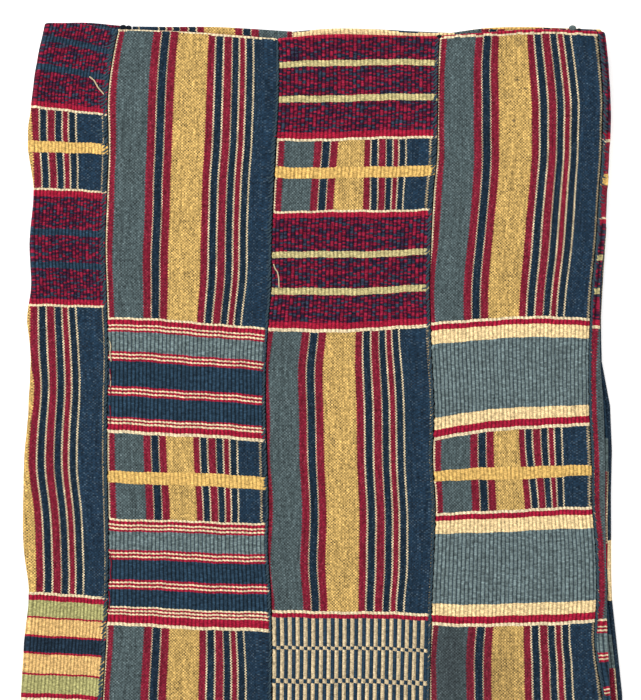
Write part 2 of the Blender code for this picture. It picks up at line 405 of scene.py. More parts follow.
def start_material(name):
    """A new material, and the weave's spot, across and down, in mm from the UV map."""
    material = bpy.data.materials.new(name)
    material.use_nodes = True
    tree = material.node_tree
    tree.nodes.clear()
    spot = node(tree, "ShaderNodeUVMap", (), uv_map="weave")
    across = node(tree, SPLIT, (spot,))
    return material, tree, spot, across, across.node.outputs[1]


def finish_material(tree, colour, height, relief):
    """The dull surface of cotton, with its colour and its relief in mm."""
    bump = node(
        tree, "ShaderNodeBump", {"Height": height, "Distance": relief * MM, "Strength": 1.0}
    )
    shader = node(
        tree, "ShaderNodeBsdfPrincipled",
        {
            "Base Color": colour, "Roughness": 0.88, "Specular IOR Level": 0.08,
            "Sheen Weight": 0.03, "Sheen Roughness": 0.5, "Normal": bump,
        },
    )
    tree.links.new(shader, tree.nodes.new("ShaderNodeOutputMaterial").inputs[0])


# Old dark marks on the front strips, in mm across the strip and down along the weave
WEAVE_STEP = 2000.0  # from one strip's places in the UV map to the next strip's
STAIN_COLUMNS = ("strip", "across", "down", "half_across", "half_down", "strength")
STAINS = (
    (10, 47.5, 36.5, 2.2, 0.9, 0.55),
    (10, 52.0, 42.0, 1.9, 0.8, 0.50),
    (10, 45.0, 62.0, 1.2, 1.4, 0.60),
    (10, 41.0, 46.0, 5.5, 1.8, 0.22),
    (10, 50.0, 12.0, 4.0, 4.5, 0.25),
    (8, 44.0, 31.0, 3.4, 1.6, 0.16),
    (9, 41.0, 262.0, 2.0, 3.2, 0.20),
    (10, 12.0, 402.0, 15.0, 40.0, 0.42),
    (10, 44.0, 408.0, 16.0, 36.0, 0.20),
)


def stained(tree, spot, colour):
    """Adds the marks, each darkest in its middle."""
    for strip, middle, below, half_across, half_down, strength in STAINS:
        centre = (middle, WEAVE_STEP * strip + below, 0.0)
        offset = node(tree, VECTOR, (spot, centre), operation="SUBTRACT")
        offset = node(tree, VECTOR, (offset, (half_across, half_down, 1.0)), operation="DIVIDE")
        reach = node(tree, VECTOR, (offset, offset), 1, operation="DOT_PRODUCT")
        amount = node(
            tree, MATH, (reach, -strength, 1.2 * strength),
            operation="MULTIPLY_ADD", use_clamp=True,
        )
        marked = {0: amount, 6: colour, 7: linear("dark_weft")}
        colour = node(tree, MIX, marked, 2, data_type="RGBA")
    return colour


# Uneven dye and handling: streaks along the warp, broad faded patches and uneven yarn
WEAR_COLUMNS = ("per_mm_across", "per_mm_down", "detail", "roughness", "gain", "base")
WEAR = (
    (0.9, 0.035, 3.0, 0.6, 1.15, 0.41),
    (0.05, 0.04, 2.0, 0.5, 0.22, 0.88),
    (0.62, 0.5, 2.0, 0.7, 2.4, -0.2),
)


def worn(tree, spot, colour):
    for wide, tall, detail, roughness, gain, base in WEAR:
        place = node(tree, VECTOR, (spot, (wide, tall, 0.0)), operation="MULTIPLY")
        uneven = node(
            tree, NOISE,
            {"Vector": place, "Scale": 1.0, "Detail": detail, "Roughness": roughness},
        )
        shade = node(tree, MATH, (uneven, gain, base), operation="MULTIPLY_ADD")
        colour = node(tree, VECTOR, (colour, shade), operation="MULTIPLY")
    return colour


# The real yarns lie 0.6 mm apart, too fine to show from the photo's distance, so the plain
# weave's yarns and picks are drawn about one and a half times as wide
YARN_PITCH = 1.9
PICK_PITCH = 1.85
SLUB = 13.0  # length over which a handspun yarn stays darker or lighter
TEETH = 0.24  # how far a stripe's edge steps in and out, in mm, and the teeth's own pitch
TEETH_PITCH = 1.65


def striped_cotton():
    """Warp stripes in a plain weave. The dark weft shows as dots between the warp yarns."""
    material, tree, spot, across, down = start_material("plain_woven_striped_cotton")
    tooth = node(tree, MATH, (down, 2 * math.pi / TEETH_PITCH), operation="MULTIPLY")
    tooth = node(tree, MATH, (tooth,), operation="SINE")
    tooth = node(tree, MATH, (tooth,), operation="SIGN")
    share = node(tree, MATH, (tooth, TEETH, across), operation="MULTIPLY_ADD")
    share = node(tree, MATH, (share, STRIP_WIDTH), operation="DIVIDE")
    starts = (0.0, *[end for end, yarn, shows in STRIPES[:-1]])
    colour = node(tree, RAMP, (share,))
    fill_ramp(colour, starts, [linear(yarn) for end, yarn, shows in STRIPES])
    habits = node(tree, RAMP, (share,))
    fill_ramp(habits, starts, [
        (shows, FLECKED.get(yarn, 0.0), 0.0, 1.0) for end, yarn, shows in STRIPES
    ])
    shows = node(tree, SPLIT, (habits,))
    flecks = shows.node.outputs[1]

    warp = node(tree, MATH, (across, 2 * math.pi / YARN_PITCH), operation="MULTIPLY")
    warp = node(tree, MATH, (warp,), operation="SINE")
    weft = node(tree, MATH, (down, 2 * math.pi / PICK_PITCH), operation="MULTIPLY")
    weft = node(tree, MATH, (weft,), operation="SINE")
    crossing = node(tree, MATH, (warp, weft), operation="MULTIPLY")
    under = node(tree, MATH, (crossing, 3.0, -0.3), operation="MULTIPLY_ADD", use_clamp=True)
    over = node(tree, MATH, (crossing, -3.0, -0.3), operation="MULTIPLY_ADD", use_clamp=True)
    cell = node(tree, VECTOR, (spot, (YARN_PITCH / 2, PICK_PITCH / 2, 1.0)), operation="DIVIDE")
    cell = node(tree, VECTOR, (cell,), operation="FLOOR")
    random = node(tree, RANDOM, (cell,))

    loose = node(tree, VECTOR, (spot, (0.17, 0.09, 0.0)), operation="MULTIPLY")
    loose = node(tree, NOISE, {"Vector": loose, "Scale": 1.0, "Detail": 3.0, "Roughness": 0.6})
    loose = node(tree, MATH, (loose, 3.6, -1.15), operation="MULTIPLY_ADD", use_clamp=True)
    loose = node(tree, MATH, (loose, 0.80, 0.15), operation="MULTIPLY_ADD")
    weak = node(tree, MATH, (random, 1.0, 0.3), operation="MULTIPLY_ADD")
    dark = node(tree, MATH, (under, weak), operation="MULTIPLY")
    dark = node(tree, MATH, (dark, loose), operation="MULTIPLY")
    dark = node(tree, MATH, (dark, shows), operation="MULTIPLY", use_clamp=True)
    dotted = {0: dark, 6: colour, 7: linear("dark_weft")}
    colour = node(tree, MIX, dotted, 2, data_type="RGBA")

    # painted highlight: the crowns of the warp yarns, where they pass over the weft, are made lighter
    crown_highlight = node(tree, MATH, (over, random), operation="MULTIPLY")
    crown_highlight = node(tree, MATH, (crown_highlight, 0.55, 0.88), operation="MULTIPLY_ADD")
    colour = node(tree, VECTOR, (colour, crown_highlight), operation="MULTIPLY")
    pale = node(tree, MATH, (random, 2.2, -1.2), operation="MULTIPLY_ADD", use_clamp=True)
    pale = node(tree, MATH, (pale, flecks), operation="MULTIPLY")
    pale = node(tree, MATH, (pale, over), operation="MULTIPLY")
    flecked = {0: pale, 6: colour, 7: linear("pale_fleck")}
    colour = node(tree, MIX, flecked, 2, data_type="RGBA")

    number = node(tree, MATH, (across, YARN_PITCH / 2), operation="DIVIDE")
    number = node(tree, MATH, (number,), operation="FLOOR")
    begins = node(tree, RANDOM, {1: number}, noise_dimensions="1D")
    slub = node(tree, MATH, (down, 1 / SLUB, begins), operation="MULTIPLY_ADD")
    slub = node(tree, MATH, (slub,), operation="FLOOR")
    slub = node(tree, PLACE, (number, slub))
    tone = node(tree, RANDOM, (slub,))
    tone = node(tree, MATH, (tone, 0.30, 0.85), operation="MULTIPLY_ADD")
    colour = node(tree, VECTOR, (colour, tone), operation="MULTIPLY")
    colour = worn(tree, spot, stained(tree, spot, colour))
    height = node(tree, MATH, (crossing, -1.0), operation="MULTIPLY")
    finish_material(tree, colour, height, 0.2)
    return material


# The real picks lie 0.6 mm apart and are drawn nearly twice as tall, so that they show
PICK = 1.1


def ribs(tree, spot, across, down, groove_shade):
    """Weft ribs: height, crest, a painted shade for grooves and picks, and a random value for each pick
    on a rib.
    """
    stray = node(tree, VECTOR, (spot, (0.05, 0.05, 0.0)), operation="MULTIPLY")
    stray = node(tree, NOISE, {"Vector": stray, "Scale": 1.0, "Detail": 2.0})
    across = node(tree, MATH, (stray, 0.9, across), operation="MULTIPLY_ADD")
    number = node(tree, MATH, (across, RIB), operation="DIVIDE")
    number = node(tree, MATH, (number,), operation="FLOOR")
    crest = node(tree, MATH, (across, math.pi / RIB), operation="MULTIPLY")
    crest = node(tree, MATH, (crest,), operation="SINE")
    crest = node(tree, MATH, (crest,), operation="ABSOLUTE")
    crest = node(tree, MATH, (crest, 0.85), operation="POWER")
    step = node(tree, MATH, (number, 2.0), operation="MODULO")
    lifted = node(tree, MATH, (step, PICK / 2, down), operation="MULTIPLY_ADD")
    beat = node(tree, MATH, (lifted, math.pi / PICK), operation="MULTIPLY")
    beat = node(tree, MATH, (beat,), operation="SINE")
    beat = node(tree, MATH, (beat,), operation="ABSOLUTE")
    pick = node(tree, MATH, (lifted, PICK), operation="DIVIDE")
    pick = node(tree, MATH, (pick,), operation="FLOOR")
    cell = node(tree, PLACE, (number, pick))
    random = node(tree, RANDOM, (cell,))
    height = node(tree, MATH, (beat, 0.25, crest), operation="MULTIPLY_ADD")
    # painted shade: darker in the grooves between the ribs and in the gaps between the picks
    shade = node(tree, MATH, (crest, groove_shade, 1.08 - 0.78 * groove_shade), operation="MULTIPLY_ADD")
    pick_gap_shade = node(tree, MATH, (beat, 0.30, 0.80), operation="MULTIPLY_ADD")
    shade = node(tree, MATH, (shade, pick_gap_shade), operation="MULTIPLY")
    return height, crest, shade, random


def ribbed_weft(name, flecks, groove_shade, between=None):
    """Weft-faced ribs of one dyed yarn, uneven from pick to pick, on a warp that may show."""
    material, tree, spot, across, down = start_material(f"weft_faced_{name}_cotton")
    height, crest, shade, random = ribs(tree, spot, across, down, groove_shade)
    covered = node(tree, MATH, (crest, 1.7, -0.15), operation="MULTIPLY_ADD", use_clamp=True)
    seen = {0: covered, 6: linear(between or name), 7: linear(name)}
    colour = node(tree, MIX, seen, 2, data_type="RGBA")
    uneven = node(tree, MATH, (random, 2 * flecks, 1 - flecks), operation="MULTIPLY_ADD")
    colour = node(tree, VECTOR, (colour, uneven), operation="MULTIPLY")
    # painted shade in the grooves and between the picks
    colour = node(tree, VECTOR, (colour, shade), operation="MULTIPLY")
    finish_material(tree, worn(tree, spot, colour), height, 0.35)
    return material


TWO_PLY_COLUMNS = ("start", "yarn")
TWO_PLY = (
    (0.0, "two_ply_blue"),
    (0.21, "burgundy_blue"),
    (0.38, "two_ply_dark"),
    (0.58, "burgundy_red"),
    (0.77, "two_ply_bright"),
)


def mottled_weft():
    """Weft of red and blue singles twisted together, which shows as short red dashes."""
    material, tree, spot, across, down = start_material("weft_faced_two_ply_cotton")
    height, crest, shade, random = ribs(tree, spot, across, down, 1.25)
    streak = node(tree, VECTOR, (spot, (0.11, 0.50, 0.0)), operation="MULTIPLY")
    streak = node(tree, NOISE, {"Vector": streak, "Scale": 1.0, "Detail": 2.0})
    streak = node(tree, MATH, (streak, 1.5, -0.65), operation="MULTIPLY_ADD")
    twist = node(tree, MATH, (random, 0.80, streak), operation="MULTIPLY_ADD")
    colour = node(tree, RAMP, (twist,))
    fill_ramp(colour, *zip(*[(start, linear(yarn)) for start, yarn in TWO_PLY]))
    # painted shade in the grooves and between the picks
    colour = node(tree, VECTOR, (colour, shade), operation="MULTIPLY")
    finish_material(tree, worn(tree, spot, colour), height, 0.35)
    return material


CREAM_SHARE = 0.48  # of two ribs


def barred_weft(name, first, second):
    """Two weft colours in turn, so that each covers every second group of warp yarns."""
    material, tree, spot, across, down = start_material(name)
    height, crest, shade, random = ribs(tree, spot, across, down, 0.5)
    place = node(tree, MATH, (across, 2 * RIB), operation="DIVIDE")
    place = node(tree, MATH, (place,), operation="FRACT")
    place = node(tree, MATH, (place, CREAM_SHARE), operation="LESS_THAN")
    bars = {0: place, 6: linear(second), 7: linear(first)}
    colour = node(tree, MIX, bars, 2, data_type="RGBA")
    # painted shade in the grooves and between the picks
    colour = node(tree, VECTOR, (colour, shade), operation="MULTIPLY")
    finish_material(tree, worn(tree, spot, colour), height, 0.35)
    return material


MATERIALS = {
    "striped": striped_cotton(),
    "burgundy": mottled_weft(),
    "bars": barred_weft("weft_faced_bars_cotton", "bar_cream", "navy"),
    "checks": barred_weft("weft_faced_checks_cotton", "navy", "bar_cream"),
    "crimson": ribbed_weft("crimson", 0.10, 0.8),
    "navy": ribbed_weft("navy", 0.24, 1.2),
    "grey_blue": ribbed_weft("grey_blue", 0.26, 0.55, "grey_blue_groove"),
    "yellow": ribbed_weft("yellow", 0.05, 0.5),
    "cream": ribbed_weft("cream", 0.06, 0.55),
    "cream_yellow": ribbed_weft("cream_yellow", 0.06, 0.65),
    "honey": ribbed_weft("honey", 0.06, 0.6),
    "deep_navy": ribbed_weft("deep_navy", 0.24, 1.1),
    "pale_green": ribbed_weft("pale_green", 0.08, 0.6),
    "green": ribbed_weft("green", 0.10, 0.6),
}

# The woven blocks: each band's yarn and height in mm, from its top
FIVE_LINES = (
    ("crimson", 1.4), ("cream", 0.9), ("crimson", 1.4), ("cream", 0.9), ("crimson", 1.4),
)
BLOCKS = {
    "long": (("striped", 176.0),),
    "short": (("striped", 22.0),),
    "line": (("yellow", 7.2),),
    "over_fold_7": (("cream", 1.3), ("crimson", 3.8), ("burgundy", 8.0), ("navy", 7.4)),
    "mottled_navy_top": (
        ("burgundy", 10.3), ("navy", 3.6), ("burgundy", 13.4), ("navy", 3.9), ("burgundy", 18.8),
        ("crimson", 3.1), ("cream", 1.4),
    ),
    "mottled_navy": (
        ("cream", 1.2), ("crimson", 3.8), ("burgundy", 19.8), ("navy", 4.1), ("burgundy", 16.2),
        ("navy", 4.0), ("burgundy", 18.8), ("crimson", 3.3), ("cream", 1.3),
    ),
    "green_navy": (
        ("cream", 1.6), ("crimson", 3.3), ("green", 9.9), ("crimson", 1.1), ("honey", 10.2),
        ("crimson", 1.3), ("deep_navy", 9.2), ("crimson", 1.2), ("honey", 11.7),
        ("crimson", 1.2), ("green", 11.2), ("crimson", 2.8), ("cream", 2.5),
    ),
    "navy_lines": (
        ("cream", 1.3), ("crimson", 3.1), ("cream", 0.9), ("crimson", 1.3), ("cream", 1.1),
        ("crimson", 1.2), ("grey_blue", 12.2), *FIVE_LINES, ("navy", 15.6), *FIVE_LINES,
        ("navy", 13.1), ("crimson", 1.1), ("cream", 1.0), ("crimson", 1.1), ("cream", 1.1),
        ("crimson", 3.75), ("cream", 1.9),
    ),
    "navy_lines_below": (
        ("cream", 1.2), ("crimson", 1.9), ("cream", 1.0), ("crimson", 1.2), ("cream", 1.0),
        ("crimson", 1.2), ("grey_blue", 11.3), *FIVE_LINES, ("navy", 12.2), *FIVE_LINES,
        ("navy", 10.6), ("cream", 1.0), ("crimson", 1.1), ("cream", 1.0), ("crimson", 1.1),
        ("cream", 0.9), ("crimson", 4.9), ("cream", 1.9),
    ),
    "over_fold_9": (
        ("cream", 1.3), ("crimson", 3.0), ("burgundy", 14.0), ("pale_green", 3.8), ("burgundy", 2.0),
        ("crimson", 2.4),
    ),
    "mottled_pale_top": (
        ("burgundy", 13.9), ("pale_green", 3.7), ("burgundy", 18.3), ("pale_green", 4.1),
        ("burgundy", 18.8), ("crimson", 4.1), ("cream", 1.5),
    ),
    "mottled_pale": (
        ("cream", 1.3), ("crimson", 3.1), ("burgundy", 21.0), ("pale_green", 3.9),
        ("burgundy", 18.9), ("pale_green", 4.2), ("burgundy", 17.0), ("crimson", 4.0),
        ("cream", 2.0),
    ),
    "barred": (
        ("cream", 1.7), ("crimson", 2.6), ("bars", 17.6), ("checks", 2.1), ("bars", 2.1),
        ("bars", 15.9), ("checks", 2.8), ("bars", 2.8), ("bars", 15.0), ("crimson", 3.0),
        ("cream", 1.5),
    ),
    "grey_field": (
        ("cream", 1.6), ("crimson", 3.2), ("cream_yellow", 8.1), ("grey_blue", 43.2),
        ("cream_yellow", 7.2), ("crimson", 4.4), ("cream", 1.9),
    ),
    "mottled_plain": (
        ("cream", 1.3), ("crimson", 3.1), ("burgundy", 60.0), ("crimson", 3.5), ("cream", 1.5),
    ),
    "yellow_navy": (("crimson", 4.2), ("cream_yellow", 12.5), ("navy", 2.5), ("cream_yellow", 18.7)),
    "fold_edge": (("crimson", 1.7), ("cream", 1.0)),
    "cream_edge": (("crimson", 0.8), ("cream", 1.0)),
    "over_fold_12": (("cream_yellow", 6.0), ("navy", 4.0)),
}

# Each strip's sections in order along the weave: where it starts, and each section's end at
# the strip's first edge, its middle and its second edge, in mm below the highest point. The
# visible part is read off the photo; above and below, the cloth goes on in its own order.
PLANS = {
    7: (-191, (
        ("long", -18, -18, -18),
        ("over_fold_7", 2.0, -2.5, 8.0),
        ("mottled_navy_top", 53.0, 53.4, 59.3),
        ("short", 73.4, 73.6, 76.8),
        ("line", 80.7, 80.7, 83.2),
        ("short", 103.4, 103.3, 106.4),
        ("mottled_navy", 177.2, 178.0, 178.4),
        ("long", 357.2, 357.2, 360.0),
        ("green_navy", 425.3, 425.3, 428.3),
        ("short", 448, 448, 450),
        ("line", 455, 455, 457),
        ("short", 477, 477, 479),
        ("mottled_navy", 550, 550, 552),
        ("long", 726, 726, 728),
    )),
    8: ((3.6, 6.2, 10.2), (
        ("cream_edge", 5.4, 8.0, 12.0),
        ("long", 184.6, 187.4, 192.0),
        ("navy_lines", 257.2, 259.5, 263.0),
        ("short", 280.9, 282.2, 284.6),
        ("line", 288.1, 290.1, 292.4),
        ("short", 310.4, 312.2, 313.5),
        ("navy_lines_below", 377.4, 379.7, 381.8),
        ("long", 552, 552, 554),
    )),
    9: (-191, (
        ("long", -16, -17, -16),
        ("over_fold_9", 12.2, 9.8, 11.2),
        ("mottled_pale_top", 74.8, 74.2, 72.4),
        ("short", 90.7, 91.1, 89.3),
        ("line", 97.6, 97.9, 95.9),
        ("short", 118.3, 118.0, 117.0),
        ("mottled_pale", 193.7, 193.9, 191.0),
        ("long", 368.2, 368.6, 370.2),
        ("barred", 436, 436, 437),
        ("short", 458, 458, 459),
        ("line", 465, 465, 466),
        ("short", 487, 487, 488),
        ("mottled_pale", 560, 560, 561),
        ("long", 736, 736, 737),
    )),
    10: ((9.0, 5.2, 6.0), (
        ("fold_edge", 11.3, 8.0, 8.9),
        ("long", 188.4, 184.7, 185.2),
        ("grey_field", 261.6, 255.2, 253.0),
        ("short", 281.2, 278.2, 277.7),
        ("line", 287.4, 285.9, 283.6),
        ("short", 307.8, 304.9, 303.4),
        ("grey_field", 377.2, 378.0, 375.0),
        ("long", 553, 553, 551),
    )),
    1: (-20, (("long", 156, 156, 156),)),
    2: (-200, (("long", -24, -24, -24),)),
    3: (-531, (("long", -355, -355, -355), ("yellow_navy", -317, -317, -317), ("long", -93, -93, -93))),
    4: (-195, (("long", -19, -19, -19),)),
    5: (-40, (("long", 136, 136, 136),)),
    6: (-190, (("long", -14, -14, -14),)),
    11: (-206, (
        ("long", -8, -8, -8),
        ("mottled_plain", 75.5, 75.5, 75.5),
        ("short", 95.5, 95.5, 95.5),
        ("line", 102.5, 102.5, 102.5),
        ("short", 122.5, 122.5, 122.5),
        ("mottled_pale", 191.5, 191.5, 191.5),
        ("long", 373, 373, 373),
    )),
    12: (-176, (("long", 0, -2, -1), ("over_fold_12", 10.2, 7.9, 9.2), ("grey_field", 76, 74, 75),
                ("short", 96, 96, 96), ("line", 103, 103, 103), ("short", 125, 125, 125),
                ("grey_field", 197, 197, 197), ("long", 373, 373, 373))),
    13: (-60, (("long", 116, 116, 116),)),
}
OTHER_BLOCK = {
    1: "grey_field", 2: "mottled_pale", 3: "green_navy", 4: "navy_lines", 5: "barred",
    6: "mottled_navy", 7: "mottled_navy", 8: "navy_lines", 9: "mottled_pale",
    10: "grey_field", 11: "navy_lines", 12: "grey_field", 13: "mottled_navy",
}
CYCLE = ("block", "short", "line", "short", "block", "long")  # after a long striped part
CLOTH_REACH = 905.0


def block_height(name):
    return sum(height for yarn, height in BLOCKS[name])


def strip_bands(strip):
    """The strip's bands along the weave: a list of edge lines, and the yarn between them."""
    start, sections = PLANS[strip]
    sections = [(name, ends) for name, *ends in sections]
    other = OTHER_BLOCK[strip]
    edge = start if isinstance(start, tuple) else (start, start, start)
    before = []
    turn = 0
    first_edge = edge
    while first_edge[1] > -CLOTH_REACH - 20:
        kind = CYCLE[(4 - turn) % 6]
        name = other if kind == "block" else kind
        before.insert(0, (name, first_edge))
        first_edge = tuple(value - block_height(name) for value in first_edge)
        turn += 1
    after = []
    last = sections[-1][1]
    turn = 0
    while last[1] < CLOTH_REACH + 5:
        kind = CYCLE[turn % 6]
        name = other if kind == "block" else kind
        last = tuple(value + block_height(name) for value in last)
        after.append((name, last))
        turn += 1
    edges, yarns = [first_edge], []
    for name, ends in before + sections + after:
        begin, full, done = edges[-1], block_height(name), 0.0
        for yarn, height in BLOCKS[name]:
            done += height
            edges.append(tuple(b + (e - b) * done / full for b, e in zip(begin, ends)))
            yarns.append(yarn)
    return edges, yarns


def wobble(strip, ends, share):
    """A band's edge strays a little from a smooth line, as weft that is beaten by hand."""
    turns = strip * 1.7 + ends[1] / 26.0
    return (
        0.30 * np.sin(share * 9 + turns)
        + 0.17 * np.sin(share * 31 + turns * 1.9)
        + 0.09 * np.sin(share * 67 + turns * 3.1)
        + 0.16 * np.cos(2 * math.pi * (share - 0.04) * STRIP_WIDTH / RIB)
    )


def weave_rows(strip, shares, spacing_at):
    """Rows of weave places along the strip, one at each band edge and more between."""
    edges, yarns = strip_bands(strip)
    drop = top_drop(strip, shares)
    fold = [drop - PLY_REACH * math.pi * n / 6 for n in range(6, -1, -1)]
    if strip in (8, 9, 10):
        fold += [drop + step for step in (0.5, 1.0, 1.5, 2.1, 2.8)]
    low = drop * 2 - PLY_REACH * math.pi - CLOTH_REACH
    lines = []
    for number, ends in enumerate(edges):
        line = across_line(ends, shares) + wobble(strip, ends, shares)
        clear = np.all(line > fold[-1] + 0.1) or np.all(line < fold[0] - 0.2)
        inside = np.all(line > low + 4) and np.all(line < CLOTH_REACH - 4)
        if clear and inside:
            lines.append(line)
    high = np.full_like(shares, CLOTH_REACH)
    lines = sorted(lines + fold + [low, high], key=lambda line: line[len(line) // 2])
    kept, last_kept = [], lines[0] - 99.0
    hidden_step = 0.45 * spacing_at(-100.0)
    for line in lines[:-1]:
        if np.max(line) < -12 and line is not low and np.min(line - last_kept) < hidden_step:
            continue
        kept.append(line)
        last_kept = line
    lines = kept + lines[-1:]
    rows = [lines[0]]
    for line in lines[1:]:
        line = np.maximum(line, rows[-1] + 0.05)
        gap = float(np.max(line - rows[-1]))
        count = max(1, math.ceil(gap / spacing_at(float(line[0]))))
        begin = rows[-1]
        rows += [begin + (line - begin) * n / count for n in range(1, count + 1)]
    return np.array(rows)


def band_numbers(strip, shares, weaves):
    """Which band each place in the weave lies in."""
    edges, yarns = strip_bands(strip)
    found = np.zeros(weaves.shape, int)
    for number, ends in enumerate(edges[:-1]):
        line = across_line(ends, shares) + wobble(strip, ends, shares)
        found = np.where(weaves > line, number, found)
    return found, yarns


# The woven strips. Each is a thin sheet on its solid's folds; on the front, its edges roll down
# into the seams, its ribbed blocks stand a little proud, and its surface is softly uneven.
FRONT_STRIPS = (7, 8, 9, 10, 11)
EDGE_SHARES = (0.0, 0.004, 0.009, 0.015, 0.023, 0.032)
RIB_CLOSENESS = {7: 1.15}  # strip 7's ribs are a little closer than the others'
SEEN_SHARES = {7: (0.56, 1.0), 8: (0.0, 1.0), 9: (0.0, 1.0), 10: (0.0, 1.0)}
FOLD_SHARES = {3: (0.90, 1.0), 7: (0.40, 0.57), 11: (0.04, 0.14)}


def column_shares(strip):
    """Places across a strip: one at each half rib where it is seen, and fewer elsewhere."""
    low, high = SEEN_SHARES.get(strip, (1.0, 1.0))
    shares = {share for share in np.round(np.arange(0.04, 0.961, RIB / 200), 5) if low < share < high}
    shares.update(share for share in np.linspace(0.04, 0.96, 16) if not low < share < high)
    shares.update(EDGE_SHARES)
    shares.update(round(1 - share, 5) for share in EDGE_SHARES)
    if strip in FOLD_SHARES:
        low, high = FOLD_SHARES[strip]
        shares.update(np.round(np.arange(low, high, 0.006), 5))
    return np.array(sorted(shares))


def rough(across, down, size, seed):
    """Smooth uneven ground made of a few crossing waves, about -1 to 1."""
    total = np.zeros_like(across)
    for turn in range(5):
        angle = seed + turn * 2.399
        total += np.sin(
            (across * math.cos(angle) + down * math.sin(angle)) / size * (1 + 0.31 * turn)
            + seed * 3.1 + turn
        )
    return total / 3


def strip_relief(strip, share, weave, ribbed):
    """How far the cloth stands proud of its plain folded shape, in mm."""
    across = share * STRIP_WIDTH + strip * 131.0
    first, second = share * STRIP_WIDTH, (1 - share) * STRIP_WIDTH
    edge = np.minimum(first, second)
    roll = -1.3 * np.exp(-((second / 1.0) ** 2)) - 0.25 * np.exp(-((first / 0.6) ** 2))
    roll = roll + 0.22 * np.exp(-(((edge - 4.0) / 2.0) ** 2))
    ground = 0.20 * rough(across, weave, 14.0, 1.3 + strip) + 0.10 * rough(across, weave, 5.0, 4.1)
    return roll + ground * np.clip(edge / 4, 0, 1) + 0.22 * ribbed


def scallops(strip, share, weave, ribbed):
    """The weft's turns make a block's sides uneven. They swell and draw in by half a mm."""
    first, second = share * STRIP_WIDTH, (1 - share) * STRIP_WIDTH
    loops = 0.35 * np.sin(weave * 1.5 + strip) + 0.25 * np.sin(weave * 0.83 + 2.0 * strip)
    sides = np.exp(-((second / 1.5) ** 2)) - np.exp(-((first / 1.5) ** 2))
    return ribbed * loops * sides


# How far the stripes stray from an even course, in mm to the right, at four places across
# each front strip. The blocks pull the warp in, and it spreads again between them.
DRIFT_SHARES = {
    7: (0.56, 0.70, 0.84, 0.95), 8: (0.08, 0.37, 0.63, 0.90),
    9: (0.08, 0.37, 0.63, 0.90), 10: (0.08, 0.37, 0.63, 0.90),
}
# How much of the weave is seen before the seam takes it in, in mm across, at distances down
LAST_SEEN = {
    7: ((0, 100.0), (905, 100.0)),
    8: ((0, 95.2), (260, 95.2), (262, 99.6), (313, 99.6), (315, 95.2)),
    9: ((0, 95.2), (71, 95.2), (73, 99.2), (117, 99.2), (119, 95.2), (189, 95.2), (191, 97.2)),
    10: ((0, 97.5), (905, 97.5)),
}
DRIFT_COLUMNS = ("down", "first", "second", "third", "fourth")
DRIFT = {
    7: (
        (58, -3.8, -4.5, -4.5, 0.2), (70, -3.8, -4.9, -4.8, 0.6), (85, -3.2, -4.2, -3.9, 0.2),
        (97, -2.2, -3.1, -3.4, 0.2), (140, -3.2, -3.6, -3.6, 0.6), (182, -4.1, -4.4, -4.1, 0.9),
        (206, -4.6, -4.1, -3.1, 1.5), (231, -2.2, -3.0, -1.9, 1.2), (256, -3.8, -3.9, -2.8, 1.2),
        (281, -4.5, -4.1, -3.1, 1.2), (306, -2.1, -1.9, -1.1, 1.4), (344, -1.1, -0.6, 0.2, 1.7),
    ),
    8: (
        (14, 0.0, 1.4, 0.9, 0.6), (52, 1.5, 1.9, 1.6, 1.0), (76, 0.6, 1.2, 1.4, 1.2),
        (95, 0.2, 1.0, 0.8, 0.8), (126, 1.0, 1.5, 1.2, 0.8), (151, 0.0, 0.9, 1.2, 1.1),
        (176, 0.2, 0.4, -0.1, -0.4), (220, 1.0, 0.4, -1.4, -1.6), (269, 1.4, 0.4, -2.8, -2.4),
        (300, 1.6, 1.6, -1.8, -3.0), (384, 0.2, 1.2, -0.1, -1.2), (410, -0.2, 0.9, 0.5, 0.8),
    ),
    9: (
        (75, 1.7, 1.9, -2.2, -4.0), (86, 1.9, 1.5, -1.9, -3.3), (106, 1.6, 1.2, -0.2, -3.6),
        (160, 0.8, 0.8, -1.2, -3.6), (197, -0.9, -0.7, -2.3, -3.7), (216, -2.4, -2.3, -2.2, -2.6),
        (247, -1.7, -2.3, -1.7, -1.9), (272, -2.5, -2.0, -1.4, -0.9), (297, -1.6, -2.1, -1.5, -1.1),
        (322, -1.9, -1.6, -0.9, -0.2), (344, -3.2, -2.2, -0.9, 0.2), (362, -2.2, -1.6, -1.6, -1.2),
    ),
    10: (
        (10, 1.0, 0.8, -1.4, -1.4), (27, -0.2, 0.1, -0.4, -0.2), (52, -0.5, 0.3, 0.9, 1.1),
        (77, -0.1, 0.8, 1.5, 1.0), (101, 1.1, 1.8, 1.6, 1.3), (126, 1.0, 0.9, 0.8, 1.5),
        (152, -0.8, -0.2, 0.5, 0.8), (177, -1.6, -0.6, -0.5, -0.4), (220, 0.4, 0.8, -1.6, -1.6),
        (266, 1.5, 1.6, -2.8, -2.5), (295, 0.9, 2.0, -0.2, -3.0), (382, 0.1, 1.1, 0.3, 0.3),
        (396, -0.9, 0.3, 0.8, 0.9), (418, 0.0, -0.8, -0.8, -1.0),
    ),
}


def across_weave(strip, share, weave):
    """Where a place on a strip lies across its weave, in mm."""
    place = share * STRIP_WIDTH
    if strip not in DRIFT:
        return place
    rows = np.array(DRIFT[strip])
    woven = np.array(DRIFT_SHARES[strip]) * STRIP_WIDTH
    moved = [at + curve(rows[:, 0], rows[:, n + 1], weave) for n, at in enumerate(woven)]
    found = np.maximum(woven[0] + place - moved[0], woven[0] * place / moved[0])
    for one, two, low, high in zip(moved, moved[1:], woven, woven[1:]):
        found = np.where(place > one, low + (high - low) * (place - one) / (two - one), found)
    last_seen = np.interp(weave, *np.array(LAST_SEEN[strip]).T)
    left_over = (last_seen - woven[-1]) / (STRIP_WIDTH - moved[-1])
    return np.where(place > moved[-1], woven[-1] + left_over * (place - moved[-1]), found)


